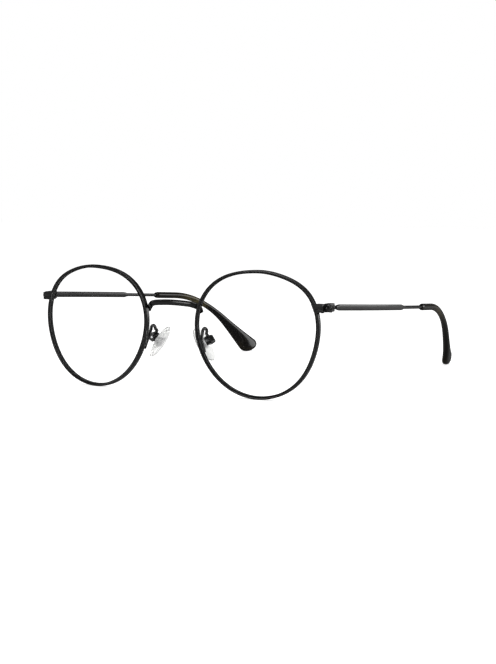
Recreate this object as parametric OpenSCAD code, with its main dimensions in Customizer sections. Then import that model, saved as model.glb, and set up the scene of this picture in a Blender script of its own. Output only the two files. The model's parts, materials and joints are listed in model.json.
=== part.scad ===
// Round wire eyeglasses: two thin round eyewires, a bar bridge, screwed nose pads, and straight
// temples that end in bent acetate tips.
//
// Everything is first built in the front's own frame: X runs across the face, Y points to the back
// of the head, Z lies in the plane of the front, and the lens centres are at y = 0, z = 0. at_rest()
// then tips the whole pair so that the rims' bottoms and the ends of both tips stand on z = 0.
// Left and right are the wearer's: +X is the wearer's left. The left side is built, and on_side()
// mirrors it for the right.

/* [Lenses and rims] */
// Width of one rim, measured between its wire's centre lines
rim_w = 48.4; // [46:0.1:51]
// Height of one rim, measured between its wire's centre lines
rim_h = 46.2; // [44:0.1:49]
// Gap between the two rims' centre lines at the nose
nose_gap = 23.1; // [20:0.1:26]
// How far the brow is flattened from a plain oval
brow_flat = 0.8; // [0.3:0.1:1]
// How far the diagonal corners of the rim stand out
rim_square = 0.2; // [0:0.05:0.3]
// How far the outline leans to the nose
nose_lean = 0.16; // [0:0.02:0.3]
// How far the outline is drawn in between the brow and the temple
brow_pull = 0.45; // [0:0.05:0.5]
// How far the outline swells below the temple
cheek_swell = 0.35; // [0:0.05:0.4]
// Radius of the lens's front curve
base_r = 86; // [75:1:130]
// Turn of each rim towards the temple
wrap = 4.3; // [2:0.1:6]
// Front-to-back depth of the rim wire
wire_d = 2.15; // [1.8:0.05:2.3]
// Height of the rim wire
wire_h = 1.2; // [1:0.05:1.3]
// Depth of the lens groove in the rim wire
groove = 0.45; // [0.3:0.05:0.5]
// Thickness of the lens
lens_t = 1.7; // [1.5:0.1:1.9]
// Gap where each rim is cut between its closing blocks
rim_cut = 0.1; // [0.1:0.05:0.3]

/* [Bridge] */
// Height of the bridge bar at its middle, above the lens centres
bridge_z = 9.8; // [8.5:0.1:11]
// Thickness of the bridge bar, up and down
bridge_h = 2.2; // [1.8:0.1:2.5]
// Thickness of the bridge bar, front to back
bridge_d = 1.7; // [1.3:0.1:1.9]
// Rise of the bridge bar from its bends to its middle
bridge_arch = 0.6; // [0.2:0.1:1.2]
// Angle round the rim, from the temple side, at which the bridge is soldered
bridge_a = 165.5; // [163:0.5:168]
// Width of the bend at each end of the bridge
bridge_turn = 3.3; // [2.4:0.1:3.6]

/* [Endpieces] */
// Height of the endpiece
end_h = 2.9; // [2.7:0.1:3.6]
// Thickness of the endpiece's plate
end_t = 1.1; // [0.9:0.1:1.4]
// Outer radius of the endpiece's bend
end_bend_r = 2.4; // [2.2:0.05:2.4]
// Height of the hinge's middle above the lens centres
hinge_z = 9.8; // [9:0.1:11]
// Depth of the closing blocks, front to back
block_d = 2.2; // [2:0.1:2.6]
// Width of the closing blocks, past the rim
block_w = 2.8; // [2.3:0.1:3.4]
// Diameter of the domed cap on the endpiece's corner
cap_d = 2.8; // [2.2:0.1:2.8]
// Height of the domed cap
cap_h = 1; // [0.6:0.05:1.1]
// How far the block's front face lies behind the wire's centre line
block_back = 0.2; // [0:0.1:0.6]
// Metal round the closing screw, on the outer side
block_wall = 0.75; // [0.5:0.05:1]
// How far the endpiece's bend starts before the block's outer side
block_lap = 0.9; // [0.5:0.1:1.2]
// Metal of the closing blocks that laps over the rim wire
block_lip = 0.35; // [0.25:0.05:0.6]
// Drop of the split between the two closing blocks, below the hinge's middle
split_drop = 0.4; // [0.2:0.05:0.6]

/* [Hinges] */
// Distance of the hinge's axis behind the endpiece's front face
hinge_back = 4.9; // [4.9:0.1:6]
// Metal in front of the hinge's slot
hinge_web = 0.8; // [0.6:0.1:0.8]
// Diameter of the hinge barrel
barrel_d = 2.9; // [2.7:0.1:3.1]
// Height of the temple's knuckle
knuckle_h = 1.2; // [1:0.1:1.4]
// Diameter of the hinge and closing screws
screw_d = 1.2; // [1:0.1:1.4]
// Height of the screws' heads
head_h = 0.35; // [0.25:0.05:0.5]
// How far the screws' ends stand out
screw_out = 0.4; // [0.2:0.05:0.6]

/* [Temples] */
// Length of the temple from the hinge to the end of the tip, along its curve
temple_l = 152.5; // [149:0.5:156]
// Downward slope of the temples, square to the front's plane
pantoscopic = 4.5; // [3:0.1:6]
// Outward turn of the temple at the hinge
splay = 5.2; // [3.5:0.1:6]
// Distance from the hinge at which the temple starts to bow inward
bow_at = 15; // [10:1:25]
// Radius of the inward bow
bow_r = 365; // [320:5:450]
// Height of the temple's bar
bar_h = 2.3; // [1.9:0.05:2.7]
// Thickness of the temple's bar
bar_t = 1.2; // [1.1:0.05:1.5]
// Distance from the hinge at which the bar gives way to its wire
bar_end = 58; // [50:1:64]
// Diameter of the core wire that carries the tip
core_d = 1.4; // [1.2:0.05:1.5]

/* [Temple tips] */
// Distance from the hinge at which the tip starts
tip_at = 78; // [74:1:82]
// Distance from the hinge at which the tip bends down behind the ear
ear_at = 92; // [88:0.5:96]
// Radius of the ear bend
ear_r = 58; // [50:1:64]
// Angle of the ear bend
ear_bend = 37.5; // [32:0.5:41]
// Height of the tip where it starts
tip_h = 2.8; // [2.7:0.1:3.4]
// Thickness of the tip where it starts
tip_t = 2.4; // [2.3:0.1:3]
// Thickness of the tip at its end
tip_end_t = 3.4; // [2.6:0.1:4.2]
// Widest height of the tip, near its end
paddle_h = 9.6; // [7:0.1:9.8]
// Length over which the paddle's end is rounded
end_l = 4; // [2:0.1:4.6]
// How far the paddle's end is cut aslant, longer at its back
end_slant = 0.58; // [0:0.02:0.6]
// Turn of the paddle that lifts its outer face
paddle_turn = 16; // [0:1:18]
// How far the core wire reaches into the tip
core_in = 52; // [30:1:60]

/* [Nose pads] */
// Distance of each pad's middle from the centre of the nose
pad_x = 9.6; // [8.6:0.1:11]
// Distance of each pad's middle behind the lens centres
pad_y = 8.65; // [7.8:0.05:9.5]
// Depth of each pad's middle below the lens centres
pad_drop = 6.45; // [5:0.05:8]
// Length of the pad
pad_l = 14.2; // [12:0.1:15]
// Width of the pad
pad_w = 8; // [6.5:0.1:9]
// Thickness of the pad
pad_t = 2; // [1.7:0.1:2.4]
// Lean of the pads, away from the nose at the bottom
pad_lean = 33.5; // [26:0.5:38]
// Turn of the pads, away from the nose at the back
pad_splay = 3; // [0:1:12]
// Outer length of the pad box, along the pad
box_l = 3.3; // [2.8:0.1:3.6]
// Outer width of the pad box, along its screw
box_w = 3.3; // [2.8:0.1:3.6]
// Depth of the pad box, square to the pad
box_d = 2.3; // [1.9:0.1:2.5]
// Radius of the pad box's outer corners
box_r = 0.7; // [0.3:0.05:0.8]
// Wall of the pad box
box_wall = 0.4; // [0.3:0.05:0.5]
// Diameter of the pad screw
pad_screw_d = 0.9; // [0.7:0.05:1]
// Diameter of the pad arm's wire
arm_d = 1.2; // [0.9:0.05:1.2]
// Lift of the pad box above the pad's middle, along the pad
box_up = 0.2; // [0:0.1:1]

/* [Hidden] */

// Gap between pieces that are soldered or screwed face to face
seat_gap = 0.04;
// Running gap round a screw, and between two knuckles
run_gap = 0.04;
// Gap between the lens's bevel and its groove
lens_gap = 0.05;
// Diameter of a screw's head over its shank's
head_ratio = 1.6;

// Stations along the swept pieces
RIM_STEPS = 86;
LENS_RINGS = [0.35, 0.7];
$fn = 40;

/* ---- Small vector helpers ---- */
function unit(v) = v / norm(v);
function along(v, t) = v - (v * t) * t;
function turn_z(p, a) = [p.x * cos(a) - p.y * sin(a), p.x * sin(a) + p.y * cos(a), p.z];
function turn_y(p, a) = [p.x * cos(a) + p.z * sin(a), p.y, p.z * cos(a) - p.x * sin(a)];
function ease(x) = let (t = min(max(x, 0), 1)) t * t * (3 - 2 * t);

// A closed skin over rings of equal length
module skin(rings) {
    m = len(rings);
    n = len(rings[0]);
    sides = [for (i = [0:m - 2], j = [0:n - 1])
        [i * n + j, (i + 1) * n + j, (i + 1) * n + (j + 1) % n, i * n + (j + 1) % n]];
    caps = [[for (j = [0:n - 1]) j], [for (j = [n - 1:-1:0]) (m - 1) * n + j]];
    polyhedron(points = [for (r = rings) each r], faces = concat(sides, caps), convexity = 10);
}

// A ring of the section's points, set square to t at p. The section's x lies along flat.
function ring(p, t, flat, section) =
    let (d = unit(along(flat, t)), w = cross(t, d))
    [for (q = section) p + d * q.x + w * q.y];

// A rounded section, from an oval (power 1) towards a rectangle (power near 0)
function rounded(w, h, n, power = 1) = [for (i = [0:n - 1])
    let (a = 360 * (i + 0.5) / n)
    [w / 2 * sign(cos(a)) * pow(abs(cos(a)), power), h / 2 * sign(sin(a)) * pow(abs(sin(a)), power)]];

// A smooth curve through points, with steps stations in each stretch
function bow(a, b, c, d, t) = 0.5 * (2 * b + (c - a) * t + (2 * a - 5 * b + 4 * c - d) * t * t
    + (3 * b - a - 3 * c + d) * t * t * t);
function through(pts, steps) = let (n = len(pts)) concat(
    [for (i = [0:n - 2], k = [0:steps - 1])
        bow(pts[max(i - 1, 0)], pts[i], pts[i + 1], pts[min(i + 2, n - 1)], k / steps)],
    [pts[n - 1]]);
function heading(path, i) = unit(path[min(i + 1, len(path) - 1)] - path[max(i - 1, 0)]);

/* ---- The rim's outline ---- */
rim_mean = (rim_w + rim_h) / 4 + rim_square;
rim_oval = (rim_w - rim_h) / 4;
eye_x = (rim_w + nose_gap) / 2;

// Distance from the lens centre to the wire's centre line, at angle a from the temple side
function rim_r(a) = rim_mean + rim_oval * cos(2 * a) + brow_flat * sin(3 * a)
    - rim_square * cos(4 * a) - nose_lean * cos(3 * a)
    - brow_pull * ease(1 - abs(a - 60) / 28) + cheek_swell * ease(1 - abs(a - 317) / 42);
// Depth of the base curve at distance r from the lens centre
function dish(r) = base_r - sqrt(base_r * base_r - r * r);
// A point of the eye, u outward and v backward from the wire's centre line, in the eye's frame
function eye_pt(a, u, v) = let (r = rim_r(a)) [(r + u) * cos(a), dish(r) + v, (r + u) * sin(a)];
// The same point in the front's frame
function front_pt(a, u, v) = turn_z(eye_pt(a, u, v), wrap) + [eye_x, 0, 0];

// Where the rim is cut: level with the hinge's middle
cut_a = asin(hinge_z / rim_r(25));
cut_pt = front_pt(cut_a, 0, 0);
cut_half = asin(rim_cut / 2 / rim_r(cut_a));

/* ---- Endpiece and hinge places ---- */
block_x0 = cut_pt.x;
block_x1 = cut_pt.x + wire_h / 2 + block_w;
end_y0 = cut_pt.y + block_back;
end_y1 = end_y0 + block_d;
end_z0 = hinge_z - end_h / 2;
end_z1 = hinge_z + end_h / 2;
split_z = hinge_z - split_drop;
closing_x = block_x1 - screw_d / 2 - block_wall;
closing_y = (end_y0 + end_y1) / 2;
end_bend = [block_x1 - block_lap, end_y0 + end_bend_r];
end_out = end_bend.x + end_bend_r;
hinge_x = end_out - barrel_d / 2;
hinge_y = end_y0 + hinge_back;
plate_end = hinge_y - barrel_d / 2 - hinge_web;
cap_a = -32;

/* ---- Temple line ---- */
temple_x = end_out - bar_t / 2;
// Outward offset, and height and depth, of the temple's line at distance s from the hinge
function temple_off(s) = sin(splay) * s - (s > bow_at ? pow(s - bow_at, 2) / (2 * bow_r) : 0);
function ear_turn(s) = min(max(0, (s - ear_at) / ear_r * 180 / PI), ear_bend);
ear_end = ear_at + ear_r * ear_bend * PI / 180;
function temple_pt(s) = let (
        slope = pantoscopic + ear_turn(s),
        before = min(s, ear_at),
        after = max(0, s - ear_end)) [
    temple_x + temple_off(s),
    hinge_y + before * cos(pantoscopic) + ear_r * (sin(slope) - sin(pantoscopic)) + after * cos(slope),
    hinge_z - before * sin(pantoscopic) - ear_r * (cos(pantoscopic) - cos(slope)) - after * sin(slope)
];
function temple_dir(s) = unit(temple_pt(s + 0.05) - temple_pt(s - 0.05));
// How far the paddle has grown at distance s: 0 at its root, and 1 where its round end starts
paddle_at = 114;
function grown(s) = min(max(0, (s - paddle_at) / (temple_l - end_l - paddle_at)), 1);
// Direction of the temple's outer face
function temple_out(s) = let (t = temple_dir(s), a = paddle_turn * sin(180 * grown(s)))
    [cos(a), 0, 0] - cross(t, [1, 0, 0]) * sin(a);
module temple_sweep(stations, sections) {
    skin([for (i = [0:len(stations) - 1]) let (s = stations[i])
        ring(temple_pt(s), temple_dir(s), temple_out(s), sections[i])]);
}

/* ---- Placing ---- */
module on_side(side) {
    mirror([side < 0 ? 1 : 0, 0, 0]) children();
}
module in_eye() {
    translate([eye_x, 0, 0]) rotate([0, 0, wrap]) children();
}
// A rod up the Z axis between two heights
module rod(d, z0, z1) {
    translate([0, 0, z0]) cylinder(d = d, h = z1 - z0);
}

/* ---- Front ---- */
// Section of the rim wire: crowned outside, with a V groove for the lens inside
crown = 0.3;
groove_w = 1.1;
wire_section = [
    [-wire_h / 2 + 0.04, -wire_d / 2 + 0.12], [-wire_h / 2 + 0.14, -wire_d / 2],
    [wire_h / 2 - crown, -wire_d / 2], [wire_h / 2 - 0.06, -wire_d / 2 + crown],
    [wire_h / 2, 0], [wire_h / 2 - 0.06, wire_d / 2 - crown],
    [wire_h / 2 - crown, wire_d / 2], [-wire_h / 2 + 0.14, wire_d / 2],
    [-wire_h / 2 + 0.04, wire_d / 2 - 0.12], [-wire_h / 2, groove_w / 2],
    [-wire_h / 2 + groove, 0], [-wire_h / 2, -groove_w / 2]
];
module eyewire() {
    in_eye() skin([for (i = [0:RIM_STEPS])
        let (a = cut_a + cut_half + (360 - 2 * cut_half) * i / RIM_STEPS)
        [for (q = wire_section) eye_pt(a, q.x, q.y)]]);
}

// The lens: two domed faces, a flat rim land and a bevel that sits in the groove
bevel_in = -wire_h / 2 - lens_gap;
bevel_out = -wire_h / 2 + groove - lens_gap;
function lens_ring(f, v) = [for (i = [0:RIM_STEPS - 1])
    let (a = cut_a + cut_half + (360 - 2 * cut_half) * i / RIM_STEPS, r = (rim_r(a) + bevel_in) * f)
    [r * cos(a), dish(r) + v, r * sin(a)]];
function bevel_ring(u, v) = [for (i = [0:RIM_STEPS - 1])
    let (a = cut_a + cut_half + (360 - 2 * cut_half) * i / RIM_STEPS) eye_pt(a, u, v)];
module lens() {
    in_eye() skin(concat(
        [for (f = LENS_RINGS) lens_ring(f, lens_t / 2)],
        [lens_ring(1, lens_t / 2), bevel_ring(bevel_in, groove_w / 2 - lens_gap)],
        [bevel_ring(bevel_out, 0), bevel_ring(bevel_in, -groove_w / 2 + lens_gap)],
        [lens_ring(1, -lens_t / 2)],
        [for (i = [len(LENS_RINGS) - 1:-1:0]) lens_ring(LENS_RINGS[i], -lens_t / 2)]));
}

// The bridge: a bar that arches over the nose, turns down behind both rims, and is flattened there
foot_flat = 0.6;
bridge_foot = front_pt(bridge_a, -0.5, wire_d / 2 + foot_flat * bridge_d / 2 + 2 * seat_gap);
bridge_rise = (bridge_z - bridge_arch - bridge_foot.z) * 0.6;
bridge_bend = bridge_foot + [-bridge_turn, -bridge_turn * 0.35, bridge_z - bridge_arch - bridge_foot.z];
bridge_half = [
    [0, bridge_bend.y - 0.9, bridge_z],
    [bridge_bend.x / 2, bridge_bend.y - 0.6, bridge_z - bridge_arch / 4],
    bridge_bend,
    bridge_foot + [-bridge_turn * 0.3, 0.2, bridge_rise],
    bridge_foot
];
bridge_pts = concat(
    [for (i = [len(bridge_half) - 1:-1:1]) [-bridge_half[i].x, bridge_half[i].y, bridge_half[i].z]],
    bridge_half);
module bridge_shape() {
    steps = 5;
    path = through(bridge_pts, steps);
    n = len(path);
    skin([for (i = [0:n - 1]) let (
            foot = ease((2 * steps - min(i, n - 1 - i)) / steps),
            d = bridge_d * (1 - (1 - foot_flat) * foot))
        ring(path[i], heading(path, i), [0, 1, 0], rounded(d, bridge_h, 14, 0.75))]);
}

/* ---- Endpiece, closing blocks and front hinge ---- */
// The rim's outline, grown by u and as deep as given
module rim_plate(u, depth) {
    in_eye() translate([0, dish(rim_r(cut_a)), 0]) rotate([90, 0, 0])
        linear_extrude(height = depth, center = true)
            polygon([for (i = [0:179]) let (r = rim_r(2 * i) + u) [r * cos(2 * i), r * sin(2 * i)]]);
}
// Room for the lens and for the rim wire, which lies in a channel of the blocks
module rim_room() {
    rim_plate(-wire_h / 2, 12 * block_d);
    rim_plate(wire_h / 2 + 2 * seat_gap, wire_d + 4 * seat_gap);
}
// A closing block: a body outside the rim, and a collar that laps over the wire
module block(z0, z1) {
    collar = wire_d / 2 + 2 * seat_gap + block_lip;
    collar_x = cut_pt.x - wire_h;
    difference() {
        union() {
            translate([block_x0, end_y0, z0]) cube([block_x1 - block_x0, block_d, z1 - z0]);
            translate([collar_x, cut_pt.y - collar, z0])
                cube([block_x1 - collar_x, 2 * collar, z1 - z0]);
        }
        rim_room();
    }
}
// Profile of the domed cap: a low dome with a ring round a raised dot
cap_sunk = 0.3;
cap_profile = [
    [0, -cap_sunk], [cap_d / 2, -cap_sunk], [cap_d / 2, 0.05], [cap_d * 0.46, cap_h * 0.32],
    [cap_d * 0.38, cap_h * 0.6], [cap_d * 0.29, cap_h * 0.77], [cap_d * 0.23, cap_h * 0.64],
    [cap_d * 0.17, cap_h * 0.78], [cap_d * 0.1, cap_h * 0.95], [0, cap_h]
];
module endpiece() {
    difference() {
        union() {
            block(split_z + rim_cut / 2, end_z1);
            translate([end_bend.x, end_bend.y, end_z0]) rotate([0, 0, -90])
                rotate_extrude(angle = 90) translate([end_bend_r - end_t, 0]) square([end_t, end_h]);
            translate([end_out - end_t, end_bend.y, end_z0])
                cube([end_t, plate_end - seat_gap - end_bend.y, end_h]);
            translate([end_bend.x, end_bend.y, hinge_z]) rotate([0, 0, cap_a])
                translate([end_bend_r, 0, 0]) rotate([0, 90, 0]) rotate_extrude() polygon(cap_profile);
        }
        translate([closing_x, closing_y, 0]) {
            rod(screw_d + 2 * run_gap, end_z0 - 1, end_z1 + 1);
            screw_seat();
        }
        lower_room();
    }
}
// Room for a screw's head, sunk flush with the endpiece's top
module screw_seat() {
    rod(head_ratio * screw_d + 2 * seat_gap, end_z1 - head_h - seat_gap, end_z1 + 1);
}
// Room round the lower closing block
module lower_room() {
    translate([0, end_y0 - 1, end_z0 - 1])
        cube([block_x1 + seat_gap, block_d + 2, split_z + rim_cut / 2 - end_z0 + 1]);
}
module lower_block() {
    difference() {
        block(end_z0, split_z - rim_cut / 2);
        translate([closing_x, closing_y, 0]) rod(screw_d + seat_gap, end_z0 - 1, end_z1);
    }
}
// A screw down the Z axis, its slotted head flush at height top
module slotted_screw(d, top, end) {
    head_d = head_ratio * d;
    difference() {
        union() {
            rod(d, end, top);
            rod(head_d, top - head_h, top);
        }
        translate([-head_d, -d / 8, top - head_h / 2]) cube([2 * head_d, d / 4, head_h]);
    }
}
module closing_screw() {
    translate([closing_x, closing_y, 0]) slotted_screw(screw_d, end_z1, end_z0 - screw_out);
}
// The front's half of the hinge: a block with a slot for the temple's tongue
module front_hinge() {
    slot_h = knuckle_h + 2 * run_gap;
    slot_y = hinge_y - barrel_d / 2 - 2 * run_gap;
    difference() {
        union() {
            translate([hinge_x, hinge_y, end_z0]) cylinder(d = barrel_d, h = end_h);
            translate([hinge_x - barrel_d / 2, plate_end, end_z0])
                cube([barrel_d, hinge_y - plate_end, end_h]);
        }
        translate([hinge_x - barrel_d, slot_y, hinge_z - slot_h / 2])
            cube([2 * barrel_d, 2 * barrel_d, slot_h]);
        translate([hinge_x, hinge_y, 0]) {
            rod(screw_d + seat_gap, end_z0 - 1, end_z1 + 1);
            screw_seat();
        }
    }
}
module hinge_screw() {
    translate([hinge_x, hinge_y, 0]) slotted_screw(screw_d, end_z1, end_z0 - screw_out);
}

/* ---- Temple ---- */
// The temple's half of the hinge: a tongue that turns in the slot and carries the bar
module temple_hinge() {
    tongue_x = temple_x - bar_t / 2 + 0.1;
    tongue_l = nose_at - seat_gap - knuckle_h / 2 * sin(pantoscopic);
    difference() {
        union() {
            translate([hinge_x, hinge_y, hinge_z]) cylinder(d = barrel_d, h = knuckle_h, center = true);
            translate([tongue_x, hinge_y, hinge_z - knuckle_h / 2])
                cube([end_out - 0.1 - tongue_x, tongue_l, knuckle_h]);
        }
        translate([hinge_x, hinge_y, 0]) rod(screw_d + 2 * run_gap, end_z0, end_z1);
    }
}
// Height of the bar at distance s: a rounded nose, a parallel bar, and a taper down to the wire
nose_at = barrel_d / 2 + 0.25;
nose_l = 3;
taper_l = 3.5;
function bar_height(s) = s < nose_at + nose_l
    ? knuckle_h + (bar_h - knuckle_h) * pow(ease((s - nose_at) / nose_l), 0.7)
    : core_d + (bar_h - core_d) * ease((bar_end - s) / taper_l);
function bar_thick(s) = core_d + (bar_t - core_d) * ease((bar_end - s) / taper_l);
// Power of the bar's rounded section, which turns oval as it tapers
function bar_power(s) = 0.45 + 0.55 * ease((s - bar_end + taper_l) / taper_l);
bar_stations = concat([for (i = [0:6]) nose_at + nose_l * i / 6],
    [for (i = [1:10]) nose_at + nose_l + (bar_end - taper_l - nose_at - nose_l) * i / 10],
    [for (i = [1:5]) bar_end - taper_l + taper_l * i / 5]);
core_end = tip_at + core_in;
core_stations = [for (i = [1:24]) bar_end + (core_end - bar_end) * i / 24];
module temple() {
    temple_sweep(concat(bar_stations, core_stations), concat(
        [for (s = bar_stations) rounded(bar_thick(s), bar_height(s), 12, bar_power(s))],
        [for (s = core_stations) rounded(core_d, core_d, 12)]));
}

// Height of the tip at distance s: a short cone, a slim neck, and a paddle with a round end
cone_l = 1.6;
function tip_cone(s) = 0.8 + 0.2 * min(1, (s - tip_at) / cone_l);
// The share of its size that is left at distance s, in an end that is round over the last r
function round_end(s, r) = let (t = max(0, (s - temple_l + r) / r)) sqrt(max(0.01, 1 - t * t));
function tip_height(s) = (tip_h + (paddle_h - tip_h) * pow(grown(s), 2.2)) * tip_cone(s)
    * round_end(s, end_l);
function tip_thick(s) = (tip_t + (tip_end_t - tip_t) * grown(s)) * tip_cone(s)
    * round_end(s, tip_end_t * 0.45);
// Power of the tip's rounded section, whose faces flatten towards the end
function tip_power(s) = 1 - 0.2 * pow(grown(s), 2);
tip_stations = concat([tip_at, tip_at + cone_l / 2, tip_at + cone_l],
    [for (i = [1:22]) tip_at + cone_l + (temple_l - end_l - tip_at - cone_l) * i / 22],
    [for (i = [1:8]) temple_l - end_l * (1 - sin(90 * i / 8))]);
// The tip's ring at distance s, which leans over near the end
function tip_ring(s) = let (
        p = temple_pt(s),
        t = temple_dir(s),
        down = cross(t, [1, 0, 0]),
        lean = end_slant * ease((s - temple_l + 24) / 20))
    [for (q = ring(p, t, temple_out(s), rounded(tip_thick(s), tip_height(s), 16, tip_power(s))))
        q - t * (lean * ((q - p) * down))];
module temple_tip() {
    bore_stations = [for (i = [0:16]) tip_at - 1 + (core_in + 1.3) * i / 16];
    difference() {
        skin([for (s = tip_stations) tip_ring(s)]);
        temple_sweep(bore_stations,
            [for (s = bore_stations) rounded(core_d + 0.1, core_d + 0.1, 12)]);
    }
}

/* ---- Standing at rest ---- */
// The pair rests on the rims' bottoms and on the ends of the tips: the table touches a circle at the
// rim, and the tip's lowest point, with the pair leaning back by rest_lean.
rest_lean = 2;
table = [0, -sin(rest_lean), -cos(rest_lean)];
tip_pts = [for (s = tip_stations) each tip_ring(s)];
rim_foot = [cos(wrap) * dish(rim_r(270)), -rim_r(270)];
foot_r = wire_h / 2;
end_pt = temple_pt(temple_l - end_l);
end_low = max([for (p = tip_pts) (p - end_pt) * table]);
stand = [end_pt.y, end_pt.z] - rim_foot;
rest_pitch = asin((end_low - foot_r) / norm(stand)) - atan2(stand.y, stand.x);
rest_z = foot_r - rim_foot.x * sin(rest_pitch) - rim_foot.y * cos(rest_pitch);
// The lens's front is the foremost point, and the tip's end the rearmost
rear_y = max([for (p = tip_pts) p.y]);
rest_y = (lens_t / 2 - rear_y) / 2;
module at_rest() {
    translate([0, rest_y, rest_z]) rotate([rest_pitch, 0, 0]) children();
}

/* ---- Nose pads ---- */
pad_mid = [pad_x, pad_y, -pad_drop];
// The pad's own directions: face looks at the nose, up runs along the pad, wide along its screw
function pad_dir(v) = turn_y(turn_z(v, -pad_splay), -pad_lean);
pad_face = pad_dir([-1, 0, 0]);
pad_up = pad_dir([0, 0, 1]);
// Sets its children at the pad: x away from the nose, y along the screw, z up the pad
module at_pad() {
    translate(pad_mid) rotate([0, -pad_lean, 0]) rotate([0, 0, -pad_splay]) children();
}
// Distance from the pad's middle back to the screw, and the gap between pad and box
pad_air = 1.45;
box_x = pad_t / 2 + pad_air + box_d / 2;
pivot = [box_x - 0.15, 0, box_up];
lug_r = 0.7;

// An egg-shaped pad, wider at its top, with a domed face, a flat back and thin rounded edges
egg = 0.08;
function pad_outline(f, n) = [for (i = [0:n - 1]) let (a = 360 * i / n)
    [f * (pad_w / 2) * cos(a) * (1 + egg * sin(a)), f * (pad_l / 2) * sin(a)]];
// Each layer's share of the outline, and its height as a share of the thickness
pad_layers = [[0.28, -0.5], [0.6, -0.42], [0.86, -0.24], [0.98, 0.02], [1, 0.22], [0.9, 0.42], [0.55, 0.5]];
module nose_pad() {
    at_pad() difference() {
        skin([for (l = pad_layers) [for (q = pad_outline(l[0], 32)) [l[1] * pad_t, q.x, q.y]]]);
        plate(0, pad_t, seat_gap);
    }
}
// The pad's mount: a metal plate moulded into the pad's back, with a lug that turns on the screw
plate_w = 3.2;
plate_l = 3.8;
plate_t = 0.5;
lug_w = 1.8;
module plate(x0, x1, grow) {
    translate([(x0 + x1) / 2, 0, box_up])
        cube([x1 - x0, plate_w + 2 * grow, plate_l + 2 * grow], center = true);
}
module at_screw() {
    translate(pivot) rotate([-90, 0, 0]) children();
}
module pad_mount() {
    at_pad() difference() {
        union() {
            plate(seat_gap, seat_gap + plate_t, 0);
            translate([(plate_t + pivot.x) / 2, 0, pivot.z])
                cube([pivot.x - plate_t, lug_w, 2 * lug_r], center = true);
            at_screw() cylinder(r = lug_r, h = lug_w, center = true);
        }
        at_screw() cylinder(d = pad_screw_d + 2 * run_gap, h = 2 * lug_w, center = true);
    }
}
// The pad box's outline seen from in front, rounded on the side away from the pad
module box_outline() {
    hull() {
        translate([-box_d / 2, -box_l / 2]) square([box_d / 2, box_l]);
        for (z = [-1, 1]) translate([box_d / 2 - box_r, z * (box_l / 2 - box_r)]) circle(r = box_r);
    }
}
module pad_box() {
    at_pad() difference() {
        translate([box_x, 0, box_up]) difference() {
            rotate([90, 0, 0]) linear_extrude(height = box_w, center = true) box_outline();
            translate([-box_wall, 0, 0])
                cube([box_d, box_w - 2 * box_wall, box_l - 2 * box_wall], center = true);
        }
        at_screw() cylinder(d = pad_screw_d + seat_gap, h = 2 * box_w, center = true);
    }
}
module pad_screw() {
    at_pad() at_screw()
        slotted_screw(pad_screw_d, box_w / 2 + seat_gap + head_h, -box_w / 2 - screw_out / 2);
}
// The arm: a wire soldered to the back of the rim, which rises, loops over and holds the pad box
arm_foot = front_pt(201, 0, wire_d / 2 + arm_d / 2 + seat_gap);
arm_rise = front_pt(190, -0.1, wire_d / 2 + arm_d / 2 + seat_gap + 0.4);
arm_seat = pad_mid - pad_face * (box_x + 0.1) + pad_up * (box_up + box_l / 2 + 2.4 * seat_gap);
arm_loop = [11.5, 6.5, -1.4];
arm_loop_r = 1.57;
arm_pts = concat([arm_foot, arm_rise],
    [for (a = [0, 45, 90, 135, 175]) arm_loop + arm_loop_r * [0, -cos(a), sin(a)]],
    [arm_seat + pad_up, arm_seat]);
module pad_arm() {
    path = through(arm_pts, 4);
    skin([for (i = [0:len(path) - 1])
        ring(path[i], heading(path, i), [1, 0, 0], rounded(arm_d, arm_d, 10))]);
}

/* ---- Nodes ---- */
module eyewire_left() { color("#26262a") at_rest() on_side(1) eyewire(); }
module eyewire_right() { color("#26262a") at_rest() on_side(-1) eyewire(); }
module lens_left() { color("#dfe8ee", 0.35) at_rest() on_side(1) lens(); }
module lens_right() { color("#dfe8ee", 0.35) at_rest() on_side(-1) lens(); }
module bridge() { color("#26262a") at_rest() bridge_shape(); }
module endpiece_left() { color("#222226") at_rest() on_side(1) endpiece(); }
module endpiece_right() { color("#222226") at_rest() on_side(-1) endpiece(); }
module lower_block_left() { color("#2a2a2e") at_rest() on_side(1) lower_block(); }
module lower_block_right() { color("#2a2a2e") at_rest() on_side(-1) lower_block(); }
module closing_screw_left() { color("#3a3a3e") at_rest() on_side(1) closing_screw(); }
module closing_screw_right() { color("#3a3a3e") at_rest() on_side(-1) closing_screw(); }
module front_hinge_left() { color("#303034") at_rest() on_side(1) front_hinge(); }
module front_hinge_right() { color("#303034") at_rest() on_side(-1) front_hinge(); }
module hinge_screw_left() { color("#3a3a3e") at_rest() on_side(1) hinge_screw(); }
module hinge_screw_right() { color("#3a3a3e") at_rest() on_side(-1) hinge_screw(); }
module temple_hinge_left() { color("#303034") at_rest() on_side(1) temple_hinge(); }
module temple_hinge_right() { color("#303034") at_rest() on_side(-1) temple_hinge(); }
module temple_left() { color("#26262a") at_rest() on_side(1) temple(); }
module temple_right() { color("#26262a") at_rest() on_side(-1) temple(); }
module temple_tip_left() { color("#2b1d12") at_rest() on_side(1) temple_tip(); }
module temple_tip_right() { color("#2b1d12") at_rest() on_side(-1) temple_tip(); }
module pad_arm_left() { color("#26262a") at_rest() on_side(1) pad_arm(); }
module pad_arm_right() { color("#26262a") at_rest() on_side(-1) pad_arm(); }
module pad_box_left() { color("#303034") at_rest() on_side(1) pad_box(); }
module pad_box_right() { color("#303034") at_rest() on_side(-1) pad_box(); }
module pad_screw_left() { color("#d8d8da") at_rest() on_side(1) pad_screw(); }
module pad_screw_right() { color("#d8d8da") at_rest() on_side(-1) pad_screw(); }
module nose_pad_left() { color("#e6ebe6", 0.6) at_rest() on_side(1) nose_pad(); }
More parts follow.
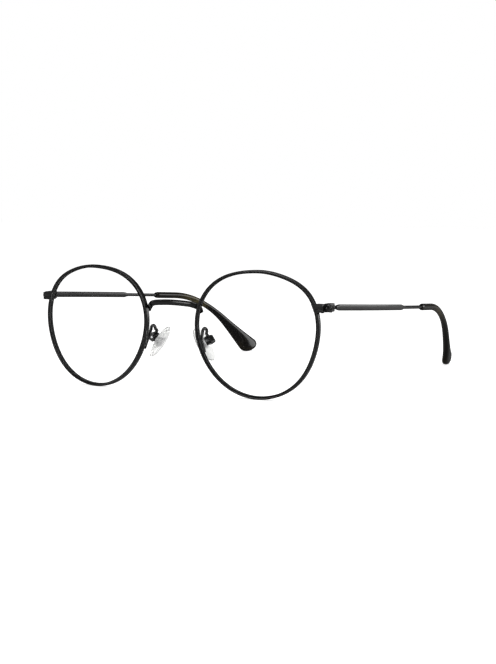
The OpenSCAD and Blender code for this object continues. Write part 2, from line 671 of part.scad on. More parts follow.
module nose_pad_right() { color("#e6ebe6", 0.6) at_rest() on_side(-1) nose_pad(); }
module pad_mount_left() { color("#c9c9cc") at_rest() on_side(1) pad_mount(); }
module pad_mount_right() { color("#c9c9cc") at_rest() on_side(-1) pad_mount(); }

eyewire_left();
eyewire_right();
lens_left();
lens_right();
bridge();
endpiece_left();
endpiece_right();
lower_block_left();
lower_block_right();
closing_screw_left();
closing_screw_right();
front_hinge_left();
front_hinge_right();
hinge_screw_left();
hinge_screw_right();
temple_hinge_left();
temple_hinge_right();
temple_left();
temple_right();
temple_tip_left();
temple_tip_right();
pad_arm_left();
pad_arm_right();
pad_box_left();
pad_box_right();
pad_screw_left();
pad_screw_right();
nose_pad_left();
nose_pad_right();
pad_mount_left();
pad_mount_right();
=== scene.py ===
"""Round wire eyeglasses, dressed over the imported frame.

The swept pieces (rims, lenses, bridge, temples, tips, pad arms, nose pads) follow the same named
sizes and formulas as the part's source, in millimetres and in the front's own frame. The left fold
joint's axis and position then place them. The small turned and cut pieces are the CAD's own.
"""
import math
import bpy
import bmesh
from mathutils import Matrix, Vector
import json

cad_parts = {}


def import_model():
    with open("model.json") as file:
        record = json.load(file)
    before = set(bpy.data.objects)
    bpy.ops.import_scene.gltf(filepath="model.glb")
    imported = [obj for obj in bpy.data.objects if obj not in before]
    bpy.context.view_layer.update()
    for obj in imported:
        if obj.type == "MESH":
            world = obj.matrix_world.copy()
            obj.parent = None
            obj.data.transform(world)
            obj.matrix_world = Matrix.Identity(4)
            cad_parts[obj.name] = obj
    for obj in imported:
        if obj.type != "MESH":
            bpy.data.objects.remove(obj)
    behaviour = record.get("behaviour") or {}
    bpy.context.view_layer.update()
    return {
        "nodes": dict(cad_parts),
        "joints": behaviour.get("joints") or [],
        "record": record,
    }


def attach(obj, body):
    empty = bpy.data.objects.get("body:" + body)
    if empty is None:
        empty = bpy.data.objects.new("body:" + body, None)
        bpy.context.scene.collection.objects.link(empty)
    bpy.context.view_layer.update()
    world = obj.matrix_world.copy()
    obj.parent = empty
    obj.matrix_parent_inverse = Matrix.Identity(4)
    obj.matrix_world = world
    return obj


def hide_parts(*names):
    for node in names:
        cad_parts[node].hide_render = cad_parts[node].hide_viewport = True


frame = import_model()
NODES = frame["nodes"]
RECORD = frame["record"]
BODY = {n: b for b, names in RECORD["behaviour"]["bodies"].items() for n in names}
JOINTS = {j["name"]: j for j in frame["joints"]}
MM = 0.001
SIDES = {"left": 1, "right": -1}

# ---------------------------------------------------------------- named sizes, as in the source
rim_w, rim_h, nose_gap = 48.4, 46.2, 23.1
brow_flat, rim_square, nose_lean = 0.8, 0.2, 0.16
brow_pull, brow_at, brow_reach = 0.45, 60.0, 28.0
cheek_swell, cheek_at, cheek_reach = 0.35, 317.0, 42.0
base_r, wrap = 86.0, 4.3
wire_d, wire_h, groove, lens_t, rim_cut = 2.15, 1.2, 0.45, 1.7, 0.1
bridge_z, bridge_h, bridge_d, bridge_arch = 9.8, 2.2, 1.7, 0.6
bridge_a, bridge_turn = 165.5, 3.3
hinge_z, block_w, block_back = 9.8, 2.8, 0.2
block_lap, end_bend_r, hinge_back, barrel_d = 0.9, 2.4, 4.9, 2.9
temple_l, pantoscopic, splay = 152.5, 4.5, 5.2
bow_at, bow_r, bar_h, bar_t, bar_end, core_d = 15.0, 365.0, 2.3, 1.2, 58.0, 1.4
tip_at, ear_at, ear_r, ear_bend = 78.0, 92.0, 58.0, 37.5
tip_h, tip_t, tip_end_t, paddle_h, end_l, end_slant = 2.8, 2.4, 3.4, 9.6, 4.0, 0.58
paddle_turn, core_in, paddle_at = 16.0, 52.0, 114.0
slant_at, slant_run, cone_l = 24.0, 20.0, 1.6
knuckle_h = 1.2
pad_x, pad_y, pad_drop = 9.6, 8.65, 6.45
pad_l, pad_w, pad_t, pad_lean, pad_splay = 14.2, 8.0, 2.0, 33.5, 3.0
box_l, box_d, box_up = 3.3, 2.3, 0.2
arm_d, arm_loop_r, arm_seat = 1.2, 1.57, 0.1
seat_gap, lens_gap, pad_air, egg = 0.04, 0.05, 1.45, 0.08


def sin(a):
    return math.sin(math.radians(a))


def cos(a):
    return math.cos(math.radians(a))


def ease(x):
    t = min(max(x, 0.0), 1.0)
    return t * t * (3 - 2 * t)


# ---------------------------------------------------------------- the rim's outline
rim_mean = (rim_w + rim_h) / 4 + rim_square
rim_oval = (rim_w - rim_h) / 4
eye_x = (rim_w + nose_gap) / 2
TURN_EYE = Matrix.Rotation(math.radians(wrap), 3, "Z")


def rim_r(a):
    return (rim_mean + rim_oval * cos(2 * a) + brow_flat * sin(3 * a)
            - rim_square * cos(4 * a) - nose_lean * cos(3 * a)
            - brow_pull * ease(1 - abs(a - brow_at) / brow_reach)
            + cheek_swell * ease(1 - abs(a - cheek_at) / cheek_reach))


def dish(r):
    return base_r - math.sqrt(base_r * base_r - r * r)


def eye_pt(a, u, v):
    r = rim_r(a)
    return Vector(((r + u) * cos(a), dish(r) + v, (r + u) * sin(a)))


def in_eye(p):
    """A point of the left eye's own frame, in the front's frame."""
    return TURN_EYE @ p + Vector((eye_x, 0, 0))


def front_pt(a, u, v):
    return in_eye(eye_pt(a, u, v))


cut_a = math.degrees(math.asin(hinge_z / rim_r(25)))
cut_half = math.degrees(math.asin(rim_cut / 2 / rim_r(cut_a)))
cut_pt = front_pt(cut_a, 0, 0)

# ---------------------------------------------------------------- hinge and temple line
block_x1 = cut_pt.x + wire_h / 2 + block_w
end_y0 = cut_pt.y + block_back
end_out = block_x1 - block_lap + end_bend_r
hinge = Vector((end_out - barrel_d / 2, end_y0 + hinge_back, hinge_z))
temple_x = end_out - bar_t / 2
ear_end = ear_at + math.radians(ear_r * ear_bend)


def temple_off(s):
    inward = (s - bow_at) ** 2 / (2 * bow_r) if s > bow_at else 0.0
    return sin(splay) * s - inward


def ear_turn(s):
    return min(max(0.0, math.degrees((s - ear_at) / ear_r)), ear_bend)


def temple_pt(s):
    """The left temple's middle line at distance s from the hinge."""
    slope, before, after = pantoscopic + ear_turn(s), min(s, ear_at), max(0.0, s - ear_end)
    back = before * cos(pantoscopic) + ear_r * (sin(slope) - sin(pantoscopic)) + after * cos(slope)
    drop = before * sin(pantoscopic) + ear_r * (cos(pantoscopic) - cos(slope)) + after * sin(slope)
    return Vector((temple_x + temple_off(s), hinge.y + back, hinge_z - drop))


def temple_dir(s):
    return (temple_pt(s + 0.05) - temple_pt(s - 0.05)).normalized()


def grown(s):
    """How far the paddle has grown at distance s: 0 at its root, 1 where its round end starts."""
    return min(max(0.0, (s - paddle_at) / (temple_l - end_l - paddle_at)), 1.0)


def temple_out(s):
    """Direction of the temple's outer face, turned up halfway along the paddle."""
    a = paddle_turn * sin(180 * grown(s))
    x = Vector((1, 0, 0))
    return x * cos(a) - temple_dir(s).cross(x) * sin(a)


# ---------------------------------------------------------------- standing at rest
# The fold joint's axis is the front's own Z, and its position the hinge's middle.
FOLD = JOINTS["fold_left"]
PITCH = math.atan2(-FOLD["axis"][1], FOLD["axis"][2])
TILT = Matrix.Rotation(PITCH, 3, "X")
REST = Vector(FOLD["pos_m"]) - TILT @ hinge * MM


def placed(p, side=1):
    """A point of the front's frame, in millimetres, on a side of the face, at rest and in metres."""
    return TILT @ Vector((p.x * side, p.y, p.z)) * MM + REST


# ---------------------------------------------------------------- building meshes
def crossed(path, i):
    """The path's direction at its point i."""
    return (path[min(i + 1, len(path) - 1)] - path[max(i - 1, 0)]).normalized()


def bow(a, b, c, d, t):
    """A smooth curve from b to c that heads from a and towards d."""
    return 0.5 * (2 * b + (c - a) * t + (2 * a - 5 * b + 4 * c - d) * t * t
                  + (3 * b - a - 3 * c + d) * t ** 3)


def through(pts, steps):
    """A smooth curve through points, the same one as the source's."""
    n = len(pts)
    out = []
    for i in range(n - 1):
        for k in range(steps):
            before, after = pts[max(i - 1, 0)], pts[min(i + 2, n - 1)]
            out.append(bow(before, pts[i], pts[i + 1], after, k / steps))
    return out + [pts[-1]]


def ring(p, t, flat, section):
    """The section's points set square to t at p, with the section's x along flat."""
    d = (flat - t * flat.dot(t)).normalized()
    w = t.cross(d)
    return [p + d * x + w * y for x, y in section]


def rounded(w, h, n, power=1.0):
    """A section of n points: an ellipse at power 1, and squarer below that."""
    out = []
    for i in range(n):
        a = 2 * math.pi * (i + 0.5) / n
        c, s = math.cos(a), math.sin(a)
        out.append((w / 2 * math.copysign(abs(c) ** power, c),
                    h / 2 * math.copysign(abs(s) ** power, s)))
    return out


def fan(bm, loop):
    """Closes a ring of vertices with a fan about its middle."""
    mid = sum((v.co for v in loop), Vector()) / len(loop)
    c = bm.verts.new(mid)
    for i, v in enumerate(loop):
        bm.faces.new((v, loop[(i + 1) % len(loop)], c))


def skin(name, rings, side=1, closed=False, attribute=None):
    """A mesh through rings of equal length: closed at both ends, or joined up into a loop."""
    bm = bmesh.new()
    layer = bm.verts.layers.float.new("along") if attribute else None
    rows = []
    for i, r in enumerate(rings):
        row = [bm.verts.new(placed(p, side)) for p in r]
        if layer:
            for v in row:
                v[layer] = attribute[i]
        rows.append(row)
    n = len(rows[0])
    pairs = list(zip(rows, rows[1:]))
    if closed:
        pairs.append((rows[-1], rows[0]))
    for a, b in pairs:
        for j in range(n):
            bm.faces.new((a[j], b[j], b[(j + 1) % n], a[(j + 1) % n]))
    if not closed:
        fan(bm, rows[0])
        fan(bm, rows[-1])
        if layer:
            bm.verts.ensure_lookup_table()
            bm.verts[-2][layer] = attribute[0]
            bm.verts[-1][layer] = attribute[-1]
    bmesh.ops.recalc_face_normals(bm, faces=bm.faces)
    return made(name, bm)


def made(name, bm, angle=40.0):
    """The object made of a bmesh, smooth but for edges sharper than the angle."""
    mesh = bpy.data.meshes.new(name)
    bm.to_mesh(mesh)
    bm.free()
    mesh.shade_smooth()
    mesh.set_sharp_from_angle(angle=math.radians(angle))
    o = bpy.data.objects.new(name, mesh)
    bpy.context.scene.collection.objects.link(o)
    return o


def dress(o, node, material, slot, *more):
    """The piece stands for a node, rides on that node's body and takes its finish."""
    o.data.materials.clear()
    o.data.materials.append(material)
    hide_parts(node, *more)
    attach(o, BODY[node])
    return o


# ---------------------------------------------------------------- material helpers
class Tree:
    """A material's node tree, with short ways to add and join nodes."""

    def __init__(self, name):
        self.mat = bpy.data.materials.new(name)
        self.mat.use_nodes = True
        self.nt = self.mat.node_tree
        self.bsdf = self.nt.nodes["Principled BSDF"]
        self.place = self.add("ShaderNodeTexCoord").outputs["Object"]

    def add(self, kind, **values):
        n = self.nt.nodes.new(kind)
        for k, v in values.items():
            setattr(n, k, v)
        return n

    def join(self, a, b):
        self.nt.links.new(a, b)

    def noise(self, scale, detail=4.0, rough=0.55, at=None, distortion=0.0):
        n = self.add("ShaderNodeTexNoise")
        n.inputs["Scale"].default_value = scale
        n.inputs["Detail"].default_value = detail
        n.inputs["Roughness"].default_value = rough
        n.inputs["Distortion"].default_value = distortion
        self.join(at or self.place, n.inputs["Vector"])
        return n.outputs["Fac"]

    def ramp(self, fac, *stops, mode="LINEAR"):
        n = self.add("ShaderNodeValToRGB")
        n.color_ramp.interpolation = mode
        e = n.color_ramp.elements
        while len(e) < len(stops):
            e.new(0.5)
        for i, (pos, colour) in enumerate(stops):
            e[i].position = pos
            c = colour if isinstance(colour, tuple) else (colour,) * 3
            e[i].color = (*c, 1)
        self.join(fac, n.inputs["Fac"])
        return n.outputs["Color"]

    def mix(self, fac, a, b, blend="MIX"):
        n = self.add("ShaderNodeMix", data_type="RGBA", blend_type=blend)
        self.feed(n.inputs[0], fac)
        self.feed(n.inputs[6], a)
        self.feed(n.inputs[7], b)
        return n.outputs[2]

    def math(self, op, a, b=0.0, clamp=False):
        n = self.add("ShaderNodeMath", operation=op, use_clamp=clamp)
        self.feed(n.inputs[0], a)
        self.feed(n.inputs[1], b)
        return n.outputs[0]

    def feed(self, socket, value):
        if isinstance(value, bpy.types.NodeSocket):
            self.join(value, socket)
        elif isinstance(value, tuple):
            socket.default_value = (*value, 1)
        else:
            socket.default_value = value

    def bump(self, height, strength, distance):
        n = self.add("ShaderNodeBump")
        n.inputs["Strength"].default_value = strength
        n.inputs["Distance"].default_value = distance
        self.join(height, n.inputs["Height"])
        self.join(n.outputs["Normal"], self.bsdf.inputs["Normal"])

    def set(self, **values):
        for k, v in values.items():
            self.feed(self.bsdf.inputs[k.replace("_", " ")], v)


def painted_edge_highlight(t, dark, light, amount):
    """Painted highlight: colour that lightens a little along a piece's edges, in patches."""
    edge = t.ramp(t.add("ShaderNodeNewGeometry").outputs["Pointiness"], (0.5, 0.0), (0.62, 1.0))
    patchy = t.ramp(t.noise(900.0, 3.0), (0.42, 0.0), (0.66, 1.0))
    return t.mix(t.math("MULTIPLY", t.math("MULTIPLY", edge, patchy), amount), dark, light)


def black_paint(name, rough=(0.2, 0.27), tone=1.0):
    """Satin black lacquer over metal: fine grain, slow variations in tone and gloss."""
    t = Tree(name)
    slow = t.noise(260.0, 3.0)
    dark = t.mix(t.ramp(slow, (0.35, 0.0), (0.65, 1.0)),
                 tuple(c * tone for c in (0.003, 0.003, 0.0033)),
                 tuple(c * tone for c in (0.006, 0.0059, 0.0063)))
    # the base colour carries a painted highlight: lighter grey along the convex edges
    t.set(Base_Color=painted_edge_highlight(t, dark, (0.05, 0.049, 0.047), 0.3),
          Roughness=t.ramp(t.noise(500.0, 3.0), (0.3, rough[0]), (0.7, rough[1])))
    t.set(IOR=1.55, Specular_IOR_Level=0.5)
    t.bump(t.noise(2600.0, 2.0), 0.06, 0.000003)
    return t.mat


def screw_steel(name, base, rough):
    """Turned steel: fine rings of tool marks about the screw, and a faint patina."""
    t = Tree(name)
    grain = t.noise(5200.0, 3.0)
    stain = t.ramp(t.noise(1100.0, 3.0), (0.4, 0.0), (0.7, 1.0))
    t.set(Base_Color=t.mix(stain, base, tuple(c * 0.78 for c in base)),
          Roughness=t.ramp(grain, (0.3, rough[0]), (0.7, rough[1])))
    t.set(Metallic=1.0, Anisotropic=0.35)
    t.bump(grain, 0.15, 0.000004)
    return t.mat


def acetate():
    """Dark tortoise acetate: near-black, with olive-brown clouds along the tip's middle."""
    t = Tree("tortoise acetate")
    along = t.add("ShaderNodeAttribute", attribute_name="along").outputs["Fac"]
    warp = t.add("ShaderNodeMapping")
    warp.inputs["Scale"].default_value = (1.0, 0.42, 1.0)
    t.join(t.place, warp.inputs["Vector"])
    clouds = t.noise(95.0, 5.0, 0.5, warp.outputs["Vector"], 0.6)
    flecks = t.noise(420.0, 4.0, 0.6, warp.outputs["Vector"], 1.2)
    olive = t.mix(t.ramp(flecks, (0.35, 0.0), (0.65, 1.0)),
                  (0.03, 0.024, 0.01), (0.115, 0.095, 0.04))
    patches = t.ramp(clouds, (0.46, 0.0), (0.56, 0.6), (0.68, 1.0))
    middle = t.ramp(along, (0.14, 0.05), (0.26, 0.5), (0.44, 1.0),
                    (0.56, 0.03), (0.86, 0.05), (0.98, 0.2))
    where = t.math("MULTIPLY", patches, middle)
    t.set(Base_Color=t.mix(where, (0.0045, 0.004, 0.0036), olive),
          Roughness=t.ramp(t.noise(1300.0, 3.0), (0.3, 0.1), (0.7, 0.17)))
    t.set(IOR=1.49, Specular_IOR_Level=0.3, Coat_Weight=0.1, Coat_Roughness=0.06)
    t.bump(t.noise(500.0, 2.0), 0.05, 0.000006)
    return t.mat


def silicone():
    """Soft clear pad: cloudy, slightly milky, with faint flow lines inside."""
    t = Tree("clear silicone")
    swirl = t.noise(180.0, 4.0, 0.5, None, 2.2)
    tint = t.mix(t.ramp(swirl, (0.42, 0.0), (0.62, 1.0)),
                 (0.97, 0.97, 0.96), (0.74, 0.745, 0.735))
    t.set(Base_Color=tint, Roughness=t.ramp(swirl, (0.35, 0.25), (0.7, 0.45)))
    t.set(IOR=1.2, Transmission_Weight=0.75, Specular_IOR_Level=0.5)
    t.bump(swirl, 0.2, 0.0001)
    return t.mat


def clear_glass():
    """Clear lens with a hard coat: a few faint smears are all that shows."""
    t = Tree("clear lens")
    smear = t.noise(45.0, 5.0, 0.6, None, 1.5)
    t.set(Base_Color=t.mix(t.ramp(smear, (0.4, 0.0), (0.7, 1.0)),
                           (1.0, 1.0, 1.0), (0.985, 0.99, 0.99)))
    t.set(Roughness=0.0, IOR=1.015, Transmission_Weight=1.0, Specular_IOR_Level=0.0)
    return t.mat


def groove_shaded_edge():
    """The lens's ground edge, painted dark as the shade of the groove that it sits in."""
    t = Tree("lens edge with painted groove shade")
    grit = t.noise(2600.0, 4.0)
    # painted shade: the edge is near-black, standing in for the groove's shade
    t.set(Base_Color=t.mix(grit, (0.012, 0.012, 0.012), (0.03, 0.03, 0.031)),
          Roughness=t.ramp(grit, (0.3, 0.55), (0.7, 0.75)))
    t.set(Specular_IOR_Level=0.1)
    return t.mat


BLACK = black_paint("satin black metal")
BLACK_HINGE = black_paint("black hinge metal", (0.24, 0.38), 1.25)
BLACK_SCREW = screw_steel("blackened screw steel", (0.09, 0.09, 0.095), (0.2, 0.34))
STEEL = screw_steel("bright screw steel", (0.56, 0.56, 0.57), (0.2, 0.34))
ACETATE = acetate()
SILICONE = silicone()
GLASS = clear_glass()
GROOVE_SHADED_EDGE = groove_shaded_edge()

# ---------------------------------------------------------------- the front
RIM_STATIONS = 384
groove_w = 1.1
crown, front_lean = 0.3, 0.03


def wire_section():
    """The rim wire's section: crowned outside, facetted in front, grooved inside for the lens."""
    w, d = wire_h / 2, wire_d / 2
    out = [(-w + 0.02, -d + 0.36), (-w + 0.08, -d + 0.27), (-w + 0.5, -d + 0.03), (-w + 0.58, -d)]
    for i in range(7):
        a = 90.0 * i / 6
        out.append((w - crown + crown * sin(a) * 0.94,
                    -d + front_lean + (crown - front_lean) * (1 - cos(a))))
    out += [(w - 0.012, -0.32), (w, 0.0), (w - 0.012, 0.32)]
    for i in range(7):
        a = 90.0 - 90.0 * i / 6
        out.append((w - crown + crown * sin(a) * 0.94, d - crown * (1 - cos(a))))
    out += [(-w + 0.2, d), (-w + 0.08, d - 0.05), (-w + 0.03, d - 0.16)]
    out += [(-w, groove_w / 2 + 0.03), (-w + 0.03, groove_w / 2 - 0.03), (-w + groove, 0.0),
            (-w + 0.03, -groove_w / 2 + 0.03), (-w, -groove_w / 2 - 0.03)]
    return out


def cut_angles(n):
    return [cut_a + cut_half + (360 - 2 * cut_half) * i / n for i in range(n + 1)]


def eyewire(name, side):
    section = wire_section()
    rings = [[front_pt(a, u, v) for u, v in section] for a in cut_angles(RIM_STATIONS)]
    return dress(skin(name + ".body", rings, side), name, BLACK, "black_metal")


def lens(name, side):
    """Two domed faces, a flat rim land and a bevel that sits in the groove."""
    inner = -wire_h / 2 - lens_gap
    edge = inner + groove

    def at(a, f, v):
        r = (rim_r(a) + inner) * f
        return in_eye(Vector((r * cos(a), dish(r) + v, r * sin(a))))

    angles = cut_angles(RIM_STATIONS)[:-1]
    fs = [0.02, 0.06] + [0.12 + 0.88 * i / 15 for i in range(15)]
    rings = [[at(a, f, lens_t / 2) for a in angles] for f in fs]
    rings.append([at(a, 1.0, lens_t / 2) for a in angles])
    rings.append([front_pt(a, inner, groove_w / 2 - lens_gap) for a in angles])
    rings.append([front_pt(a, edge, 0) for a in angles])
    rings.append([front_pt(a, inner, -groove_w / 2 + lens_gap) for a in angles])
    rings.append([at(a, 1.0, -lens_t / 2) for a in angles])
    rings += [[at(a, f, -lens_t / 2) for a in angles] for f in reversed(fs)]
    o = dress(skin(name + ".body", rings, side), name, GLASS, "clear_lens")
    o.data.materials.append(GROOVE_SHADED_EDGE)
    n = len(angles)
    for f in o.data.polygons[len(fs) * n:(len(fs) + 4) * n]:
        f.material_index = 1
    return o


def bridge():
    foot = front_pt(bridge_a, -0.5, wire_d / 2 + bridge_d * 0.3 + 2 * seat_gap)
    top = bridge_z - bridge_arch
    bend = foot + Vector((-bridge_turn, -bridge_turn * 0.35, top - foot.z))
    half = [Vector((0, bend.y - 0.9, bridge_z)),
            Vector((bend.x / 2, bend.y - 0.6, bridge_z - bridge_arch / 4)),
            bend,
            foot + Vector((-bridge_turn * 0.3, 0.2, (top - foot.z) * 0.6)),
            foot]
    pts = [Vector((-p.x, p.y, p.z)) for p in reversed(half[1:])] + half
    path = through(pts, 18)
    n = len(path)
    rings = []
    for i, p in enumerate(path):
        end = min(i, n - 1 - i)
        k = math.sqrt(1 - (1 - (end + 0.4) / 3.4) ** 2) if end < 3 else 1.0
        flat = 1 - 0.4 * ease((32 - end) / 16)
        section = rounded(bridge_d * flat * min(1, k + 0.05), bridge_h * k, 32, 0.75)
        rings.append(ring(p, crossed(path, i), Vector((0, 1, 0)), section))
    return dress(skin("bridge.body", rings), "bridge", BLACK, "black_metal")


# ---------------------------------------------------------------- temples and tips
BAR_STEPS, TIP_STEPS, END_STEPS = 260, 130, 24
nose_at = barrel_d / 2 + 0.25
nose_l, taper_l = 3.0, 3.5


def bar_height(s):
    if s < nose_at + nose_l:
        return knuckle_h + (bar_h - knuckle_h) * ease((s - nose_at) / nose_l) ** 0.7
    return core_d + (bar_h - core_d) * ease((bar_end - s) / taper_l)


def bar_thick(s):
    return core_d + (bar_t - core_d) * ease((bar_end - s) / taper_l)


def bar_power(s):
    return 0.45 + 0.55 * ease((s - bar_end + taper_l) / taper_l)


def temple(name, side):
    end = tip_at + core_in
    stations = [nose_at + (end - nose_at) * i / BAR_STEPS for i in range(BAR_STEPS + 1)]
    rings = [ring(temple_pt(s), temple_dir(s), temple_out(s),
                  rounded(bar_thick(s), bar_height(s), 32, bar_power(s))) for s in stations]
    return dress(skin(name + ".body", rings, side), name, BLACK, "black_metal")


def tip_cone(s):
    return 0.8 + 0.2 * min(1.0, (s - tip_at) / cone_l)


def round_end(s, r):
    t = max(0.0, (s - temple_l + r) / r)
    return math.sqrt(max(0.0004, 1 - t * t))


def tip_height(s):
    return (tip_h + (paddle_h - tip_h) * grown(s) ** 2.2) * tip_cone(s) * round_end(s, end_l)


def tip_thick(s):
    return (tip_t + (tip_end_t - tip_t) * grown(s)) * tip_cone(s) * round_end(s, tip_end_t * 0.45)


def tip_power(s):
    return 1 - 0.2 * grown(s) ** 2


def slanted(s, t, section_ring, middle):
    """The ring leans over near the tip's end, so that the end is cut aslant: longer at its back."""
    lean = end_slant * ease((s - temple_l + slant_at) / slant_run)
    down = t.cross(Vector((1, 0, 0)))
    return [p - t * (lean * (p - middle).dot(down)) for p in section_ring]


def tip(name, side):
    """The acetate tip, with a small rounded mouth round the core wire."""
    lip = [(tip_at + 0.02, 0.86), (tip_at, 0.93), (tip_at + 0.04, 0.98), (tip_at + 0.12, 1.0)]
    stations = [tip_at + cone_l * i / 8 for i in range(1, 9)]
    root, end = tip_at + cone_l, temple_l - end_l
    stations += [root + (end - root) * i / TIP_STEPS for i in range(1, TIP_STEPS + 1)]
    stations += [temple_l - end_l * (1 - sin(90 * i / END_STEPS)) for i in range(1, END_STEPS + 1)]
    rings = [ring(temple_pt(tip_at + 0.1), temple_dir(tip_at), temple_out(tip_at),
                  rounded(core_d * 1.02, core_d * 1.02, 40))]
    sizes = []
    for s, k in lip:
        w, h = tip_thick(s) * k, tip_height(s) * k
        rings.append(ring(temple_pt(s), temple_dir(s), temple_out(s), rounded(w, h, 40, tip_power(s))))
        sizes.append(s)
    for s in stations:
        t, middle = temple_dir(s), temple_pt(s)
        section = rounded(tip_thick(s), tip_height(s), 40, tip_power(s))
        rings.append(slanted(s, t, ring(middle, t, temple_out(s), section), middle))
    along = [0.0] + [(s - tip_at) / (temple_l - tip_at) for s in sizes + stations]
    return dress(skin(name + ".body", rings, side, attribute=along), name, ACETATE, "tortoise_acetate")


# ---------------------------------------------------------------- nose pads and arms
PAD_TURN = (Matrix.Rotation(math.radians(-pad_lean), 3, "Y")
            @ Matrix.Rotation(math.radians(-pad_splay), 3, "Z"))
PAD_MID = Vector((pad_x, pad_y, -pad_drop))
ARM_LOOP = Vector((11.5, 6.5, -1.4))
box_x = pad_t / 2 + pad_air + box_d / 2


def at_pad(p):
    return PAD_TURN @ Vector(p) + PAD_MID


def nose_pad(name, side):
    """An egg shape, wider at its top, with a domed face, a flat back, and thin rounded edges."""
    layers = [(0.05, -0.5), (0.28, -0.497), (0.45, -0.475), (0.6, -0.42), (0.75, -0.34), (0.86, -0.24),
              (0.93, -0.12), (0.98, 0.02), (1.0, 0.13), (1.0, 0.22), (0.97, 0.33), (0.9, 0.42),
              (0.78, 0.475), (0.55, 0.5), (0.3, 0.5), (0.05, 0.5)]
    rings = []
    for f, h in layers:
        rings.append([at_pad((h * pad_t, f * pad_w / 2 * cos(a) * (1 + egg * sin(a)),
                              f * pad_l / 2 * sin(a))) for a in [360 * i / 96 for i in range(96)]])
    return dress(skin(name + ".body", rings, side), name, SILICONE, "clear_silicone")


def pad_arm(name, side):
    rise = front_pt(190, -0.1, wire_d / 2 + arm_d / 2 + seat_gap + 0.4)
    foot = front_pt(201, 0, wire_d / 2 + arm_d / 2 + seat_gap)
    up = PAD_TURN @ Vector((0, 0, 1))
    face = PAD_TURN @ Vector((-1, 0, 0))
    seat = PAD_MID - face * (box_x + arm_seat) + up * (box_up + box_l / 2 + 2.4 * seat_gap)
    hoop = [ARM_LOOP + Vector((0, -cos(a), sin(a))) * arm_loop_r for a in (0, 45, 90, 135, 175)]
    pts = [foot, rise] + hoop + [seat + up, seat]
    path = through(pts, 12)
    rings = [ring(p, crossed(path, i), Vector((1, 0, 0)), rounded(arm_d, arm_d, 24))
             for i, p in enumerate(path)]
    return dress(skin(name + ".body", rings, side), name, BLACK, "black_metal")


bridge()
for word, side in SIDES.items():
    eyewire("eyewire_" + word, side)
    lens("lens_" + word, side)
    temple("temple_" + word, side)
    tip("temple_tip_" + word, side)
    nose_pad("nose_pad_" + word, side)
    pad_arm("pad_arm_" + word, side)


# ---------------------------------------------------------------- the CAD's own pieces
def finish_node(name, material, width):
    """A CAD node keeps its shape: it gets its finish, fine bevels and smooth shading."""
    o = NODES[name]
    o.data.materials.clear()
    o.data.materials.append(material)
    weld = o.modifiers.new("weld", "WELD")
    weld.merge_threshold = 0.002 * MM
    bevel = o.modifiers.new("bevel", "BEVEL")
    bevel.width = width * MM
    bevel.segments = 3
    bevel.limit_method = "ANGLE"
    bevel.angle_limit = math.radians(35)
    bevel.harden_normals = False
    bevel.use_clamp_overlap = True
    o.data.shade_smooth()
    o.data.set_sharp_from_angle(angle=math.radians(35))


for word in SIDES:
    finish_node("endpiece_" + word, BLACK, 0.2)
    finish_node("lower_block_" + word, BLACK, 0.1)
    finish_node("closing_screw_" + word, BLACK_SCREW, 0.04)
    finish_node("front_hinge_" + word, BLACK_HINGE, 0.08)
    finish_node("hinge_screw_" + word, BLACK_SCREW, 0.04)
    finish_node("temple_hinge_" + word, BLACK_HINGE, 0.08)
    finish_node("pad_box_" + word, BLACK, 0.14)
    finish_node("pad_screw_" + word, STEEL, 0.04)
    finish_node("pad_mount_" + word, STEEL, 0.05)


# ---------------------------------------------------------------- floor and light
def floor():
    """A wide pale table top that fades into the white background, and keeps the shadow. Seen in
    reflections its colour is painted darker, to paint the reflections on the object.
    """
    bm = bmesh.new()
    bmesh.ops.create_grid(bm, x_segments=2, y_segments=2, size=4.0)
    o = made("floor", bm)
    t = Tree("pale floor")
    way = t.add("ShaderNodeLightPath").outputs
    spot = t.add("ShaderNodeSeparateXYZ")
    t.join(t.place, spot.inputs[0])
    # painted reflection: for glossy rays the floor is 0.26 in front and 0.05 behind, with a lighter
    # 0.4 band behind to the right
    behind = t.ramp(t.math("ADD", spot.outputs["Y"], 0.5), (0.4, 0.0), (0.62, 1.0))
    mirrored = t.math("SUBTRACT", way["Is Glossy Ray"], way["Is Transmission Ray"], clamp=True)
    dark = t.math("MULTIPLY", behind, mirrored)
    pale = t.mix(t.noise(3.0), (0.8, 0.8, 0.8), (0.83, 0.83, 0.83))
    near = t.mix(mirrored, pale, (0.26, 0.26, 0.26))
    beside = t.ramp(t.math("ADD", spot.outputs["X"], 0.5), (0.56, 0.0), (0.66, 1.0))
    far = t.mix(beside, (0.05, 0.05, 0.05), (0.4, 0.4, 0.4))
    t.set(Base_Color=t.mix(dark, near, far), Roughness=0.9)
    t.bsdf.inputs["Specular IOR Level"].default_value = 0.0
    t.bsdf.inputs["Emission Color"].default_value = (1, 1, 1, 1)
    seen = t.math("MAXIMUM", way["Is Camera Ray"], way["Is Transmission Ray"])
    seen = t.math("MAXIMUM", seen, t.math("MULTIPLY", way["Is Glossy Ray"], 0.1))
    t.join(t.math("MULTIPLY", seen, 0.62), t.bsdf.inputs["Emission Strength"])
    o.data.materials.append(t.mat)


def world():
    w = bpy.data.worlds.new("studio")
    bpy.context.scene.world = w
    w.use_nodes = True
    nt = w.node_tree
    bg = nt.nodes["Background"]
    bg.inputs["Color"].default_value = (1, 1, 1, 1)
    way = nt.nodes.new("ShaderNodeLightPath").outputs
    seen = nt.nodes.new("ShaderNodeMath")
    seen.operation = "MAXIMUM"
    nt.links.new(way["Is Camera Ray"], seen.inputs[0])
    nt.links.new(way["Is Transmission Ray"], seen.inputs[1])
    dim = nt.nodes.new("ShaderNodeMapRange")
    dim.inputs["To Min"].default_value = 0.5
    dim.inputs["To Max"].default_value = 0.08
    nt.links.new(way["Is Glossy Ray"], dim.inputs["Value"])
    level = nt.nodes.new("ShaderNodeMapRange")
    level.inputs["To Max"].default_value = 1.0
    nt.links.new(seen.outputs[0], level.inputs["Value"])
    nt.links.new(dim.outputs["Result"], level.inputs["To Min"])
    nt.links.new(level.outputs["Result"], bg.inputs["Strength"])


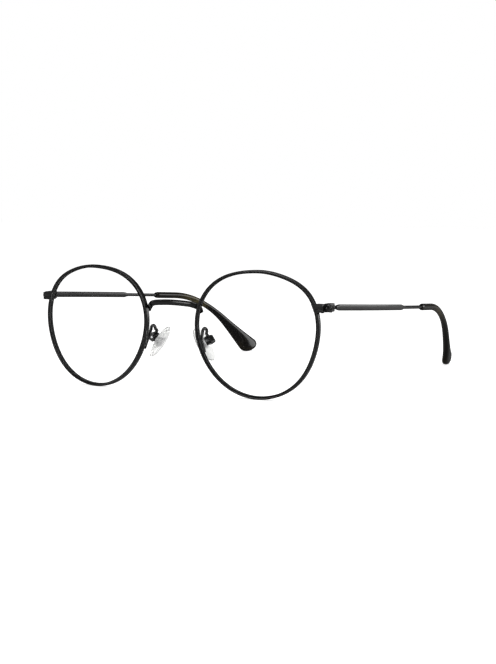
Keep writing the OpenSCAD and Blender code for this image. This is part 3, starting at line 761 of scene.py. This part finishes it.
def lamp(name, place, aim, size, power):
    data = bpy.data.lights.new(name, "AREA")
    data.shape = "RECTANGLE"
    data.size, data.size_y = size
    data.energy = power
    o = bpy.data.objects.new(name, data)
    o.location = place
    o.rotation_euler = (Vector(aim) - Vector(place)).to_track_quat("-Z", "Y").to_euler()
    bpy.context.scene.collection.objects.link(o)


floor()
world()
lamp("top softbox", (0.1, 0.1, 0.9), (0, -0.02, 0.02), (0.7, 0.5), 2.6)
lamp("left softbox", (-0.85, -0.3, 0.35), (0, -0.04, 0.02), (0.3, 0.6), 0.8)
lamp("right softbox", (0.8, 0.1, 0.55), (0, -0.02, 0.02), (0.35, 0.5), 1.8)
lamp("front softbox", (-0.24, -0.97, 0.2), (0, -0.07, 0.03), (0.28, 0.18), 1.5)
lamp("back softbox", (0.75, 0.95, 0.2), (0, 0.0, 0.02), (0.5, 0.36), 1.6)


# ---------------------------------------------------------------- camera
def camera():
    """The photograph's view: a long lens, from the wearer's left and a little above."""
    view_scale, view_pitch = 0.98, 1.4
    azimuth, elevation, roll = 29.4617, 5.0759, 0.4954
    target = Vector((17.4939, 30.0, -2.5258))
    distance, lens_mm = 543.551, 74.84
    back = Vector((sin(azimuth) * cos(elevation), -cos(azimuth) * cos(elevation), sin(elevation)))
    right = Vector((0, 0, 1)).cross(back).normalized()
    up = back.cross(right)
    right, up = right * cos(roll) + up * sin(roll), up * cos(roll) - right * sin(roll)
    turn = Matrix.Rotation(PITCH - math.radians(view_pitch), 3, "X")
    place = turn @ (target + back * distance) * view_scale * MM + REST
    axes = [turn @ v for v in (right, up, back)]
    data = bpy.data.cameras.new("camera")
    data.lens, data.sensor_width = lens_mm, 36.0
    data.clip_start, data.clip_end = 0.01, 20.0
    o = bpy.data.objects.new("camera", data)
    m = Matrix((axes[0], axes[1], axes[2])).transposed().to_4x4()
    m.translation = place
    o.matrix_world = m
    bpy.context.scene.collection.objects.link(o)
    bpy.context.scene.camera = o


camera()
bpy.context.scene.view_settings.view_transform = "Standard"

import json
